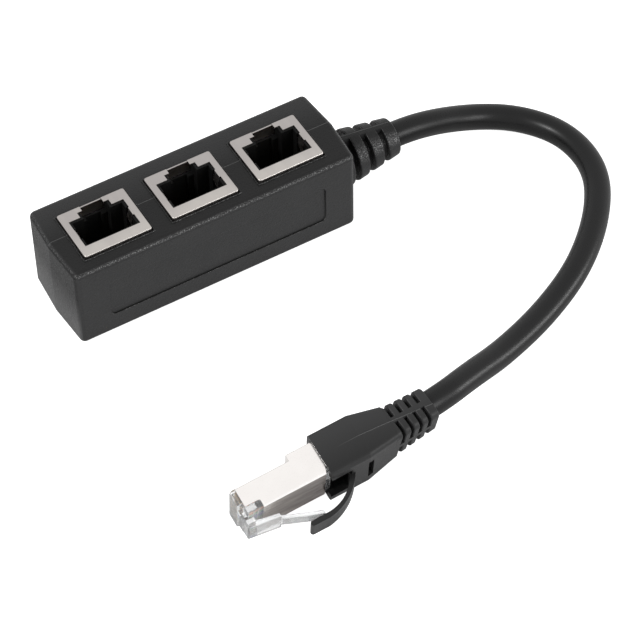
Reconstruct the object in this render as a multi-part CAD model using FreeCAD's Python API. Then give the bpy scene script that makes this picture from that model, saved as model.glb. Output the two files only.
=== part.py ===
import FreeCAD, Part
import math
import os

V = FreeCAD.Vector

# Three-way network splitter: a moulded box with three jacks, a short cable and a shielded plug.
# Frame: +X runs along the box towards the cable, the labelled long side faces -Y, +Z is up.
# The origin is at the centre of the box's bottom face. Sizes are in millimetres.

# moulded box
box_margin_left = 4.9        # from the first jack to the end of the box
box_margin_right = 6.4       # from the last jack to the end with the cable
box_end_draft = 0.75         # each end falls back by this at the two long sides
box_width = 22.0
box_crown = 0.25             # rise of the top at the parting line
box_edge_radius = 1.3
panel_length = 52.8          # shallow bare panel in the long side
panel_height = 10.4
panel_bottom = 5.4
panel_depth = 0.35
panel_corner = 1.2
panel_rim = 0.14             # rounding of its outer edge

# jacks
jack_count = 3
jack_pitch = 20.9
jack_row_y = -0.85
jack_width = 16.0
jack_depth = 13.4
jack_height = 16.0           # from the circuit board to the face
jack_proud = 0.9             # face above the top of the box
jack_gap = 0.12              # moulding to shield, each side
shield_sheet = 0.3
shield_fold = 0.55
face_fold = 0.24              # under half of shield_fold
insert_gap = 0.1             # insert to shield, each side
face_opening_width = 13.0
face_opening_low = -4.05     # from the jack's centre line
face_opening_high = 3.7
latch_mouth_width = 7.5
latch_mouth_top = 5.2
latch_slit_width = 5.1
socket_width = 11.85
socket_low = -3.6
socket_high = 3.25
socket_depth = 12.6
latch_recess_width = 6.3
latch_recess_top = 4.9
latch_groove_width = 3.6
latch_groove_top = 5.75
latch_ledge_drop = 3.2
spring_width = 2.3           # earthing springs folded into the socket
spring_length = 5.4
spring_bulge = 0.28
spring_y = 0.0
peg_width = 1.2
peg_reach = 2.5
peg_y = 1.4

# contacts of a jack
way_count = 8
way_pitch = 1.02
contact_width = 0.4
contact_thickness = 0.35
contact_slot_clearance = 0.08
contact_slot_floor = -5.0    # bottom of the slots behind the socket's low wall
contact_lip = 1.3            # plastic left above the slots at the mouth
contact_turn = 0.75
contact_turn_drop = 2.0      # top of the turn below the face
contact_tip_drop = 9.8
contact_tip_y = -1.35
tail_row_gap = 2.54
tail_reach = 0.9

# circuit board
board_seat = 5.15            # its underside above the bottom of the box
board_thickness = 1.6
board_width = 17.2
board_margin_left = 1.4      # board past the first jack
board_margin_right = 0.45    # board past the last row of wire holes
board_hole = 0.85
peg_slot_clearance = 0.15
solder_room = 1.3

# wires
wire_diameter = 0.98
copper_diameter = 0.5
copper_hole = 0.65
wire_layer = 1.1             # spacing of the bundle in the jacket
wire_bend = 1.1
pad_gap = 1.2                # from the last jack to the first row of wire holes
pad_row_gap = 1.65
jacket_end_gap = 2.0         # from the second row of wire holes to the end of the jacket
wire_room_gap = 0.25         # from the last jack to the room for the wires
wire_room_width = 5.6

# cable, its route chosen by hand, the free length from inside one relief to inside the other
cable_diameter = 5.9
relief_bore_gap = 0.08
jacket_end_depth = 9.9       # straight end past the last point, clamped in the plug
cord_points = [
    (44.0, 0.0, 9.4),
    (56.3, 0.0, 9.4),
    (70.6, 0.0, 4.4),
    (80.6, -5.0, 2.95),
    (86.8, -14.8, 2.95),
    (86.6, -27.2, 2.95),
    (79.4, -38.4, 2.95),
    (67.7, -48.9, 2.95),
    (54.1, -56.1, 2.95),
    (39.8, -61.8, 4.6),
    (29.2, -65.6, 7.9),
    (19.4, -69.2, 10.3),
    (5.99, -70.5, 10.05),
    (-4.48, -70.35, 9.05),
]

# strain relief moulded with the box
relief_start_radius = 6.8
relief_end_radius = 4.35
relief_length = 15.05
relief_sunk = 2.0            # length inside the box
relief_core_radius = 3.35
relief_slot_first = 2.35     # from the end of the box
relief_slot_width = 1.4
relief_slot_pitch = 4.1
relief_slot_count = 3
relief_spine = 1.4
relief_rim = 0.4

# plug, in its own frame: +X from the nose to the cable, -Y towards the latch, cable on the X axis
plug_width = 11.9
plug_latch_side = -4.0
plug_front_height = 6.1
plug_step = 1.4
plug_step_x = 13.8
plug_body_end = 20.3
plug_sheet = 0.25
plug_fold = 0.45
plug_fold_gap = 0.05
plug_shield_front = 1.3
plug_shield_end = 20.5
plug_window_end = 4.7
plug_window_height = 1.8
plug_contact_window = 6.8
plug_tail_cut = 1.8
plug_roll = 14.0             # lean of the plug's flank towards -Y
plug_tip_to_last_point = 25.4
nose_corner_depth = 1.2      # the nose is cut back beside the latch
nose_corner_height = 2.6
nose_inset = 0.1             # nose inside the outline of the shield
nose_chamfer = 0.45
blade_thickness = 0.32
blade_front = 1.0
blade_length = 3.1
blade_sink = 0.25
blade_tip_clearance = 0.03
groove_width = 0.62
groove_depth = 0.3
wire_row_y = -1.4
wire_row_start = 1.5
wire_drop_end = 9.8
wire_spread_end = 11.6
wire_spread_start = 14.3
wire_fan_bend = 1.1
row_channel_gap = 0.06
cable_room_start = 9.2
cable_room_width = 9.2
cable_room_half = 3.0
latch_front_width = 6.0
latch_tail_width = 3.4
latch_thickness = 0.8
latch_front_x = 0.1
latch_foot_x = 2.3
latch_shoulder_x = 7.2
latch_knee_x = 13.0
latch_tip_x = 15.6
latch_root_drop = 1.75       # outer face past the plug's latch side, at the front
latch_shoulder_drop = 2.7
latch_knee_drop = 5.1
latch_tip_drop = 6.0
latch_round = 0.4
crimp_start = 21.3
crimp_end = 24.6
crimp_opening = 60.0         # degrees left open on the latch side

# boot
boot_mouth_x = 19.6
boot_half_width = 6.9
boot_contact_side = 4.8
boot_latch_side = -5.6
boot_corner = 1.1
boot_taper_x = 28.6
boot_shoulder_x = 35.9
boot_shoulder_half_width = 5.5
boot_shoulder_contact_side = 3.6
boot_shoulder_latch_side = -4.35
boot_cavity_end = 26.0
boot_cavity_gap = 0.15
boot_window_end = 24.3
boot_window_width = 8.6
boot_slot_x = 28.2
boot_slot_length = 1.3
boot_slot_width = 7.2
boot_slot_depth = 2.2
tail_length = 9.9
tail_sunk = 1.5              # length inside the boot's shoulder
tail_centre = -0.4           # middle of its section, towards the latch side
tail_start_half_width = 5.3
tail_end_half_width = 4.0
tail_start_half_height = 3.95
tail_end_half_height = 3.7
tail_corner = 1.5
tail_core_radius = 3.3
tail_slot_first = 0.25
tail_slot_width = 0.8
tail_slot_pitch = 2.26
tail_slot_count = 4
tail_spine = 1.2
tail_rim = 0.3
hook_width = 5.0
hook_sunk = 0.6              # its root inside the boot's wall
hook_outer_root = 25.4
hook_inner_root = 23.9
hook_outer_bulge = (21.3, 3.9)    # a point of the outer face: along the plug, past the boot
hook_inner_bulge = (20.6, 3.3)
hook_bend_x = 15.8
hook_tip_x = 12.2
hook_outer_drop = 5.95
hook_inner_drop = 4.75

# levels and edges worked out from the sizes above
box_length = (jack_count - 1) * jack_pitch + jack_width + box_margin_left + box_margin_right   # parting line
jack_row_x = (box_margin_left - box_margin_right) / 2
board_top = board_seat + board_thickness
face_z = board_top + jack_height
box_height = face_z - jack_proud                 # at the long sides
row_start = jack_row_x - ((jack_count - 1) * jack_pitch + jack_width) / 2
row_end = jack_row_x + ((jack_count - 1) * jack_pitch + jack_width) / 2
pad_far_x = row_end + pad_gap
pad_near_x = pad_far_x + pad_row_gap
jacket_end_x = pad_near_x + jacket_end_gap
wire_room_start = row_end + wire_room_gap
board_start = row_start - board_margin_left
board_end = pad_near_x + board_margin_right
relief_end_x = box_length / 2 + relief_length
relief_z = cord_points[0][2]
relief_y = cord_points[0][1]
plug_contact_side = plug_latch_side + plug_front_height
plug_rear_side = plug_contact_side + plug_step
way_offsets = [(way_count - 1) / 2.0 * way_pitch - k * way_pitch for k in range(way_count)]
relief_slope = (relief_end_radius - relief_start_radius) / relief_length
jack_centres = [jack_row_x + (k - (jack_count - 1) / 2.0) * jack_pitch for k in range(jack_count)]


def block(x0, x1, y0, y1, z0, z1):
    return Part.makeBox(x1 - x0, y1 - y0, z1 - z0, V(x0, y0, z0))


def fused(shapes):
    first = shapes[0]
    if len(shapes) == 1:
        return first
    return first.multiFuse(shapes[1:]).removeSplitter()


def outline(points, closed=True):
    corners = [V(*p) for p in points]
    if closed:
        corners.append(corners[0])
    return Part.makePolygon(corners)


def plate(points, height, z0=0.0):
    flat = [(x, y, z0) for x, y in points]
    return Part.Face(outline(flat)).extrude(V(0, 0, height))


def mirrored(points):
    return points + [(-x, y) for x, y in reversed(points)]


def rounded_rectangle(x, y0, y1, half_z, radius):
    """Closed wire in the plane of constant x."""
    corners = [(y0, -half_z), (y1, -half_z), (y1, half_z), (y0, half_z)]
    centres = [(y0 + radius, radius - half_z), (y1 - radius, radius - half_z),
               (y1 - radius, half_z - radius), (y0 + radius, half_z - radius)]
    bend = radius * math.sqrt(0.5)
    signs = [(-1, -1), (1, -1), (1, 1), (-1, 1)]
    starts = [(-1, 0), (0, -1), (1, 0), (0, 1)]
    edges = []
    last = None
    first = None
    for corner, centre, sign, start in zip(corners, centres, signs, starts):
        a = V(x, centre[0] + start[0] * radius, centre[1] + start[1] * radius)
        m = V(x, centre[0] + sign[0] * bend, centre[1] + sign[1] * bend)
        turn = (-start[1], start[0])
        b = V(x, centre[0] + turn[0] * radius, centre[1] + turn[1] * radius)
        if last is not None:
            edges.append(Part.LineSegment(last, a).toShape())
        else:
            first = a
        edges.append(Part.Arc(a, m, b).toShape())
        last = b
    edges.append(Part.LineSegment(last, first).toShape())
    return Part.Wire(edges)


def corner_arc(before, corner, after, radius):
    """Tangent arc at a corner of a path: its two ends and its middle."""
    u = (before - corner).normalize()
    w = (after - corner).normalize()
    turn = math.pi - u.getAngle(w)
    reach = radius * math.tan(turn / 2)
    inward = (u + w).normalize()
    centre = corner + inward * (radius / math.cos(turn / 2))
    return corner + u * reach, centre - inward * radius, corner + w * reach


def bent_path(points, radii):
    """Straight runs joined by tangent arcs. radii has one value for each inner point."""
    edges = []
    here = points[0]
    for k, radius in enumerate(radii):
        start, middle, end = corner_arc(points[k], points[k + 1], points[k + 2], radius)
        edges.append(Part.LineSegment(here, start).toShape())
        edges.append(Part.Arc(start, middle, end).toShape())
        here = end
    edges.append(Part.LineSegment(here, points[-1]).toShape())
    return Part.Wire(edges)


def tube(points, radii, diameter):
    path = bent_path(points, radii)
    start = points[0]
    ring = Part.Wire(Part.makeCircle(diameter / 2, start, points[1] - start))
    return path.makePipeShell([ring], True, True), path.Length


def ribbon(points, radii, thickness, width_axis, width):
    """Flat strip of even thickness, its bends rounded, as wide as width about its path."""
    half = thickness / 2.0
    sides = []
    for sign in (1, -1):
        shifted = []
        for k, p in enumerate(points):
            ahead = points[min(k + 1, len(points) - 1)] - points[max(k, 0)]
            back = points[k] - points[max(k - 1, 0)]
            if k == 0:
                back = ahead
            if k == len(points) - 1:
                ahead = back
            n1 = width_axis.cross(V(back).normalize())
            n2 = width_axis.cross(V(ahead).normalize())
            middle = (n1 + n2).normalize()
            shifted.append(p + middle * (sign * half / middle.dot(n1)))
        sides.append(shifted)
    wires = []
    for sign, shifted in zip((1, -1), sides):
        local = []
        for k, radius in enumerate(radii):
            a = points[k + 1] - points[k]
            b = points[k + 2] - points[k + 1]
            left_turn = width_axis.dot(a.cross(b)) > 0
            local.append(radius - sign * half if left_turn else radius + sign * half)
        wires.append(bent_path(shifted, local))
    edges = list(wires[0].Edges)
    edges.append(Part.LineSegment(sides[0][-1], sides[1][-1]).toShape())
    edges += list(wires[1].Edges)
    edges.append(Part.LineSegment(sides[1][0], sides[0][0]).toShape())
    face = Part.Face(Part.Wire(Part.__sortEdges__(edges)))
    strip = face.extrude(width_axis * width)
    strip.translate(width_axis * (-width / 2.0))
    return strip


def edges_along(shape, axis, test=None):
    found = []
    for edge in shape.Edges:
        if edge.Curve.TypeId != "Part::GeomLine":
            continue
        way = edge.tangentAt(edge.FirstParameter)
        if abs(abs(way.dot(axis)) - 1) < 1e-6 and (test is None or test(edge)):
            found.append(edge)
    return found


def on_parting_line(edge):
    middle = edge.CenterOfMass
    return abs(middle.y) < 1e-6 and (middle.z > box_height or abs(abs(middle.x) - box_length / 2) < 1e-6)


def box_body():
    half_mid = box_length / 2
    half_end = half_mid - box_end_draft
    half_width = box_width / 2
    plan = [(-half_mid, 0), (-half_end, -half_width), (half_end, -half_width),
            (half_mid, 0), (half_end, half_width), (-half_end, half_width)]
    top = box_height + box_crown
    section = outline([(-half_mid, -half_width, 0), (-half_mid, half_width, 0), (-half_mid, half_width, box_height),
                       (-half_mid, 0, top), (-half_mid, -half_width, box_height)])
    body = plate(plan, top).common(Part.Face(section).extrude(V(box_length, 0, 0)))
    body = body.makeFillet(box_edge_radius, [e for e in body.Edges if not on_parting_line(e)])
    panel = block(-panel_length / 2, panel_length / 2, -half_width - 1, -half_width + panel_depth,
                  panel_bottom, panel_bottom + panel_height)
    panel = panel.makeFillet(panel_corner, edges_along(panel, V(0, 1, 0)))
    body = body.cut(panel)
    rim = [e for e in body.Edges if abs(e.CenterOfMass.y + half_width) < 1e-6
           and e.BoundBox.ZMin > panel_bottom - 1e-3 and e.BoundBox.ZMax < panel_bottom + panel_height + 1e-3
           and abs(e.CenterOfMass.x) < panel_length / 2 + 1e-3]
    return body.makeFillet(panel_rim, rim)


def relief_radius(x):
    return relief_start_radius + relief_slope * (x - box_length / 2)


def turned_cone(start, end, radius_start, radius_end, slots, slot_width, core, rim):
    """Cone along X with a groove at each slot, the groove's outer edges and the cone's end rounded."""
    slope = (radius_end - radius_start) / (end - start)
    corner = 0.1
    points = [V(start, 0, 0), V(start, radius_start, 0)]
    radii = [corner / 2]
    for x in slots:
        for at, order in ((x, 1), (x + slot_width, -1)):
            outer = radius_start + slope * (at - start)
            points += [V(at, outer, 0), V(at, core, 0)][::order]
            radii += [min(rim, 0.9 * (outer - core - corner)), corner][::order]
    points += [V(end, radius_end, 0), V(end, 0, 0)]
    radii.append(rim)
    edges = bent_path(points, radii).Edges + [Part.LineSegment(points[-1], points[0]).toShape()]
    return Part.Face(Part.Wire(edges)).revolve(V(0, 0, 0), V(1, 0, 0), 360)


def ribbed_cone(start, end, radius_start, radius_end, slots, slot_width, core, spine, rim):
    """Rounded rings between slots, and a spine along the top and the bottom."""
    rings = turned_cone(start, end, radius_start, radius_end, slots, slot_width, core, rim)
    plain = turned_cone(start, end, radius_start, radius_end, [], slot_width, core, rim)
    bar = plain.common(block(start, end, -spine / 2, spine / 2, -radius_start - 1, radius_start + 1))
    return rings.fuse(bar)


def relief():
    start = box_length / 2 - relief_sunk
    slots = [box_length / 2 + relief_slot_first + k * relief_slot_pitch for k in range(relief_slot_count)]
    cone = ribbed_cone(start, relief_end_x, relief_radius(start), relief_end_radius, slots, relief_slot_width,
                       relief_core_radius, relief_spine, relief_rim)
    return cone.translated(V(0, relief_y, relief_z))


def housing():
    body = box_body().fuse(relief()).removeSplitter()
    cuts = []
    for cx in jack_centres:
        cuts.append(block(cx - jack_width / 2 - jack_gap, cx + jack_width / 2 + jack_gap,
                          jack_row_y - jack_depth / 2 - jack_gap, jack_row_y + jack_depth / 2 + jack_gap,
                          board_top, face_z + 1))
        cuts.append(block(cx - jack_width / 2 - 0.5, cx + jack_width / 2 + 0.5,
                          jack_row_y - jack_depth / 2 + 0.5, jack_row_y + peg_y + 2,
                          board_seat - solder_room, board_seat))
    cuts.append(block(board_start, board_end, jack_row_y - board_width / 2, jack_row_y + board_width / 2,
                      board_seat, board_top))
    bore = cable_diameter / 2 + relief_bore_gap
    cuts.append(block(wire_room_start, jacket_end_x, relief_y - wire_room_width / 2,
                      relief_y + wire_room_width / 2, board_top, relief_z + bore))
    cuts.append(block(pad_far_x - 1, board_end, relief_y - wire_room_width / 2,
                      relief_y + wire_room_width / 2, board_seat - solder_room, board_seat))
    cuts.append(Part.makeCylinder(bore, relief_end_x - jacket_end_x + 1,
                                  V(jacket_end_x, relief_y, relief_z), V(1, 0, 0)))
    return body.cut(cuts)


def contact_tails():
    """Where the eight tails of one jack pass the board, from the jack's centre."""
    seat = contact_slot_floor + contact_thickness / 2
    return [(x, seat if k % 2 == 0 else seat + tail_row_gap) for k, x in enumerate(way_offsets)]


def wire_pads():
    """Board holes and jacket positions of the eight wires: (hole x, y, height in the bundle)."""
    pads = []
    for layer, x in ((-0.5, pad_near_x), (0.5, pad_far_x)):
        for k in range(4):
            pads.append((x, relief_y + (k - 1.5) * wire_layer, relief_z + layer * wire_layer))
    return pads


def circuit_board():
    board = block(board_start, board_end, jack_row_y - board_width / 2, jack_row_y + board_width / 2,
                  board_seat, board_top)
    holes = []
    for cx in jack_centres:
        for x, y in contact_tails():
            holes.append(Part.makeCylinder(board_hole / 2, board_thickness,
                                           V(cx + x, jack_row_y + y, board_seat)))
        for side in (-1, 1):
            x = cx + side * (jack_width / 2 - shield_sheet / 2)
            half = shield_sheet / 2 + peg_slot_clearance
            reach = peg_width / 2 + peg_slot_clearance
            holes.append(block(x - half, x + half, jack_row_y + peg_y - reach, jack_row_y + peg_y + reach,
                               board_seat, board_top))
    for x, y, z in wire_pads():
        holes.append(Part.makeCylinder(copper_hole / 2, board_thickness, V(x, y, board_seat)))
    return board.cut(holes)


def jack_shield(cx):
    outer = block(-jack_width / 2, jack_width / 2, -jack_depth / 2, jack_depth / 2, board_top, face_z)
    outer = outer.makeFillet(shield_fold, edges_along(outer, V(0, 0, 1)))
    rim = [e for e in outer.Edges if abs(e.CenterOfMass.z - face_z) < 1e-6]
    outer = outer.makeFillet(face_fold, rim)
    inner = block(-jack_width / 2 + shield_sheet, jack_width / 2 - shield_sheet,
                  -jack_depth / 2 + shield_sheet, jack_depth / 2 - shield_sheet,
                  board_top - 1, face_z - shield_sheet)
    half = face_opening_width / 2
    mouth = [(half, face_opening_low), (half, face_opening_high),
             (latch_mouth_width / 2, face_opening_high), (latch_mouth_width / 2, latch_mouth_top),
             (latch_slit_width / 2, latch_mouth_top), (latch_slit_width / 2, jack_depth / 2 + 1)]
    opening = plate(mirrored(mouth), shield_sheet + 2, face_z - shield_sheet - 0.01)
    shell = outer.cut([inner, opening])
    parts = [shell]
    for side in (-1, 1):
        parts.append(earth_spring(side))
        x = side * (jack_width / 2 - shield_sheet / 2)
        parts.append(block(x - shield_sheet / 2, x + shield_sheet / 2, peg_y - peg_width / 2,
                           peg_y + peg_width / 2, board_top - peg_reach, board_top + 1))
    return fused(parts).translated(V(cx, jack_row_y, 0))


def earth_spring(side):
    """Strip folded down from the edge of the face, with a bulge that presses on the plug."""
    x = side * (face_opening_width / 2 + 0.05)
    top = face_z - shield_sheet / 2
    reach = side * (spring_bulge + shield_sheet)
    points = [V(x + side * 0.9, 0, top), V(x - side * shield_sheet / 2, 0, top),
              V(x - reach, 0, top - spring_length * 0.5), V(x + side * 0.1, 0, top - spring_length)]
    strip = ribbon(points, [0.3, 1.2], shield_sheet * 0.8, V(0, 1, 0), spring_width)
    return strip.translated(V(0, spring_y, 0))


def jack_insert(cx):
    half_x = jack_width / 2 - shield_sheet - insert_gap
    half_y = jack_depth / 2 - shield_sheet - insert_gap
    top = face_z - shield_sheet
    block_body = block(-half_x, half_x, -half_y, half_y, board_top, top)
    floor = face_z - socket_depth
    socket = [(socket_width / 2, socket_low), (socket_width / 2, socket_high),
              (latch_recess_width / 2, socket_high), (latch_recess_width / 2, latch_recess_top),
              (latch_groove_width / 2, latch_recess_top), (latch_groove_width / 2, latch_groove_top)]
    cuts = [plate(mirrored(socket), socket_depth + 1, floor)]
    cuts.append(block(-latch_recess_width / 2, latch_recess_width / 2, latch_recess_top - 0.1, half_y + 1,
                      face_z - latch_ledge_drop, top + 1))
    spring_room = spring_bulge + shield_sheet + 0.5
    for side in (-1, 1):
        edge = side * (face_opening_width / 2 + spring_room)
        near = side * (socket_width / 2 - 0.5)
        cuts.append(block(min(near, edge), max(near, edge), spring_y - spring_width / 2 - 0.3,
                          spring_y + spring_width / 2 + 0.3, top - spring_length - 0.4, top + 1))
    slot = contact_width + 2 * contact_slot_clearance
    for k, x in enumerate(way_offsets):
        x0, x1 = x - slot / 2, x + slot / 2
        cuts.append(block(x0, x1, contact_slot_floor, socket_low + 0.1, board_top, top - contact_lip))
        if k % 2 == 1:
            cuts.append(block(x0, x1, contact_slot_floor, contact_slot_floor + tail_row_gap
                              + contact_thickness + contact_slot_clearance, board_top, board_top + 1.4))
    return block_body.cut(cuts).translated(V(cx, jack_row_y, 0))


def jack_contacts(cx):
    wires = []
    seat = contact_slot_floor + contact_thickness / 2
    turn_top = face_z - contact_turn_drop
    for k, x in enumerate(way_offsets):
        low = board_seat - tail_reach
        path = [V(0, seat, low)]
        radii = []
        if k % 2 == 1:
            jog = board_top + 0.75
            path = [V(0, seat + tail_row_gap, low), V(0, seat + tail_row_gap, jog), V(0, seat, jog)]
            radii = [0.3, 0.3]
        path += [V(0, seat, turn_top), V(0, seat + 2 * contact_turn, turn_top - 0.15),
                 V(0, contact_tip_y, face_z - contact_tip_drop)]
        radii += [contact_turn * 0.9, contact_turn * 0.9]
        wires.append(ribbon(path, radii, contact_thickness, V(1, 0, 0), contact_width)
                     .translated(V(cx + x, jack_row_y, 0)))
    return Part.makeCompound(wires)


def box_wire(pad):
    x, y, z = pad
    start = V(jacket_end_x, y, z)
    corner = V(x, y, z)
    foot = V(x, y, board_top)
    insulated, length = tube([start, corner, foot], [wire_bend], wire_diameter)
    copper = Part.makeCylinder(copper_diameter / 2, board_thickness + tail_reach,
                               V(x, y, board_seat - tail_reach))
    return insulated.fuse(copper).removeSplitter()


def plug_wire(k):
    """One wire from the jacket to the row in the nose, in the plug's frame."""
    side = 1 if way_offsets[k] > 0 else -1
    rank = way_count // 2 - 1 - k if side > 0 else k - way_count // 2
    bundle_z = side * (0.5 + rank // 2) * wire_layer
    bundle_y = (0.5 if rank % 2 else -0.5) * wire_layer
    end = plug_tip_to_last_point - jacket_end_depth
    points = [V(end, bundle_y, bundle_z), V(wire_spread_start, bundle_y, bundle_z),
              V(wire_spread_end, bundle_y, way_offsets[k]), V(wire_drop_end, wire_row_y, way_offsets[k]),
              V(wire_row_start, wire_row_y, way_offsets[k])]
    return tube(points, [wire_fan_bend] * 3, wire_diameter)[0]


def direction_rotation(way, roll):
    yaw = math.degrees(math.atan2(way.y, way.x))
    rise = math.degrees(math.atan2(way.z, math.hypot(way.x, way.y)))
    return FreeCAD.Rotation(yaw, -rise, roll)


def plug_placement():
    end = V(*cord_points[-1])
    way = (V(*cord_points[-2]) - end).normalize()
    return FreeCAD.Placement(end - way * plug_tip_to_last_point, direction_rotation(way, plug_roll))


def tail_placement():
    start = V(*cord_points[-2])
    way = (V(*cord_points[-3]) - start).normalize()
    return FreeCAD.Placement(start, direction_rotation(way, plug_roll))


def plug_envelope(inset, front, end, fold):
    """Stepped block of the plug, each face moved in by inset."""
    low = plug_latch_side + inset
    plan = [(front, low), (end, low), (end, plug_rear_side - inset),
            (plug_step_x + inset, plug_rear_side - inset), (plug_step_x + inset, plug_contact_side - inset),
            (front, plug_contact_side - inset)]
    half = plug_width / 2 - inset
    solid = plate(plan, 2 * half, -half)
    return solid.makeFillet(fold, edges_along(solid, V(1, 0, 0)))


def plug_body():
    body = plug_envelope(plug_sheet, 0, plug_body_end, plug_fold - plug_sheet + plug_fold_gap)
    half = plug_width / 2 - nose_inset
    nose = block(0, plug_shield_front, plug_latch_side + nose_inset / 2, plug_contact_side - nose_inset / 2,
                 -half, half)
    nose = nose.makeChamfer(nose_chamfer, [e for e in nose.Edges if abs(e.CenterOfMass.x) < 1e-6])
    channel = way_count * way_pitch / 2 + row_channel_gap
    wire_half = wire_diameter / 2 + row_channel_gap
    cuts = [block(wire_row_start - 0.1, cable_room_start + 1, wire_row_y - wire_half,
                  wire_row_y + wire_half, -channel, channel)]
    cuts.append(block(cable_room_start, plug_body_end + 1, -cable_room_half,
                      plug_contact_side - plug_sheet - 0.6, -cable_room_width / 2, cable_room_width / 2))
    cuts.append(block(plug_step_x + 1, plug_body_end + 1, -cable_room_half, cable_room_half,
                      -cable_room_width / 2, cable_room_width / 2))
    blade_floor = wire_row_y + wire_half
    for z in way_offsets:
        half_groove = groove_width / 2
        half_blade = blade_thickness / 2
        cuts.append(block(-1, plug_contact_window - 0.6, plug_contact_side - groove_depth,
                          plug_contact_side + 1, z - half_groove, z + half_groove))
        cuts.append(block(blade_front, blade_front + blade_length, blade_floor - 0.05,
                          plug_contact_side + 1, z - half_blade, z + half_blade))
    low = plug_latch_side - 1
    for near, far in ((latch_front_width / 2, plug_width), (-plug_width, -latch_front_width / 2)):
        cuts.append(block(-1, nose_corner_depth, low, plug_latch_side + nose_corner_height, near, far))
    solid = body.fuse([nose, latch()]).removeSplitter()
    return solid.cut(cuts)


def latch():
    """Latch arm rooted in the nose, wide to its shoulders and narrow behind them."""
    root = plug_latch_side
    outer = [(latch_front_x, root - latch_root_drop), (latch_shoulder_x, root - latch_shoulder_drop),
             (latch_knee_x, root - latch_knee_drop), (latch_tip_x, root - latch_tip_drop)]
    inner = [(x, y + latch_thickness) for x, y in reversed(outer[1:])]
    foot = [(latch_foot_x, root - latch_root_drop + latch_thickness), (latch_foot_x, root + 1),
            (latch_front_x, root + 1)]
    arm = plate(outer + inner + foot, latch_front_width, -latch_front_width / 2)
    half = latch_tail_width / 2
    for low, high in ((half, latch_front_width), (-latch_front_width, -half)):
        arm = arm.cut(block(latch_shoulder_x, latch_tip_x + 1, root - latch_tip_drop - 1, root, low, high))
    front = [e for e in edges_along(arm, V(0, 0, 1)) if abs(e.CenterOfMass.x - latch_front_x) < 1e-3
             and e.CenterOfMass.y < root]
    return arm.makeFillet(latch_round, front)


def plug_shield():
    outer = plug_envelope(0, plug_shield_front, plug_shield_end, plug_fold)
    inner = plug_envelope(plug_sheet, plug_shield_front - 1, plug_shield_end + 1, plug_fold - plug_sheet)
    shell = outer.cut(inner)
    half = plug_width / 2 + 1
    window = block(0, plug_window_end, plug_latch_side - 1, plug_latch_side + plug_window_height, -half, half)
    window = window.makeFillet(0.5, edges_along(window, V(0, 0, 1), lambda e: e.CenterOfMass.x > 1
                                                and e.CenterOfMass.y > plug_latch_side))
    tail = plate([(plug_shield_end + 1, 0.2), (plug_shield_end, 0.2),
                  (plug_shield_end - plug_tail_cut, plug_latch_side - 1),
                  (plug_shield_end + 1, plug_latch_side - 1)], 2 * half, -half)
    gap = way_count * way_pitch / 2 + 0.4
    contact_window = block(0, plug_contact_window, plug_contact_side - plug_sheet - 0.1,
                           plug_contact_side + 1, -gap, gap)
    shell = shell.cut([window, tail, contact_window])
    return fused([shell, crimp_collar()])


def crimp_collar():
    """Tongue and open ring that grip the jacket behind the plug."""
    inner = cable_diameter / 2 + 0.03
    top = plug_rear_side
    ring = Part.makeCylinder(inner + plug_sheet, crimp_end - crimp_start, V(crimp_start, 0, 0), V(1, 0, 0))
    ring = ring.cut(Part.makeCylinder(inner, crimp_end - crimp_start, V(crimp_start, 0, 0), V(1, 0, 0)))
    reach = inner + 1
    spread = reach * math.tan(math.radians(crimp_opening / 2))
    wedge = Part.Face(outline([(crimp_start - 1, 0, 0), (crimp_start - 1, -reach, -spread),
                               (crimp_start - 1, -reach, spread)])).extrude(V(6, 0, 0))
    ring = ring.cut(wedge)
    tongue_z = 1.1
    slope = [(plug_shield_end - 0.5, top - plug_sheet, 0), (plug_shield_end, top - plug_sheet, 0),
             (crimp_start, inner + 0.02, 0), (crimp_start + 0.4, inner + 0.02, 0),
             (crimp_start + 0.4, inner + plug_sheet - 0.02, 0), (crimp_start, inner + plug_sheet, 0),
             (plug_shield_end, top, 0), (plug_shield_end - 0.5, top, 0)]
    tongue = Part.Face(outline(slope)).extrude(V(0, 0, 2 * tongue_z))
    tongue.translate(V(0, 0, -tongue_z))
    tongue = tongue.cut(Part.makeCylinder(inner, crimp_end - plug_shield_end + 3,
                                          V(plug_shield_end - 1, 0, 0), V(1, 0, 0)))
    return fused([ring, tongue])


def plug_contacts():
    blades = []
    floor = wire_row_y + wire_diameter / 2 + blade_tip_clearance
    for z in way_offsets:
        blade = block(blade_front, blade_front + blade_length, floor, plug_contact_side - blade_sink,
                      z - blade_thickness / 2, z + blade_thickness / 2)
        top = [e for e in edges_along(blade, V(0, 0, 1)) if e.CenterOfMass.y > floor + 1]
        blades.append(blade.makeFillet(0.4, top))
    return Part.makeCompound(blades)


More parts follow.
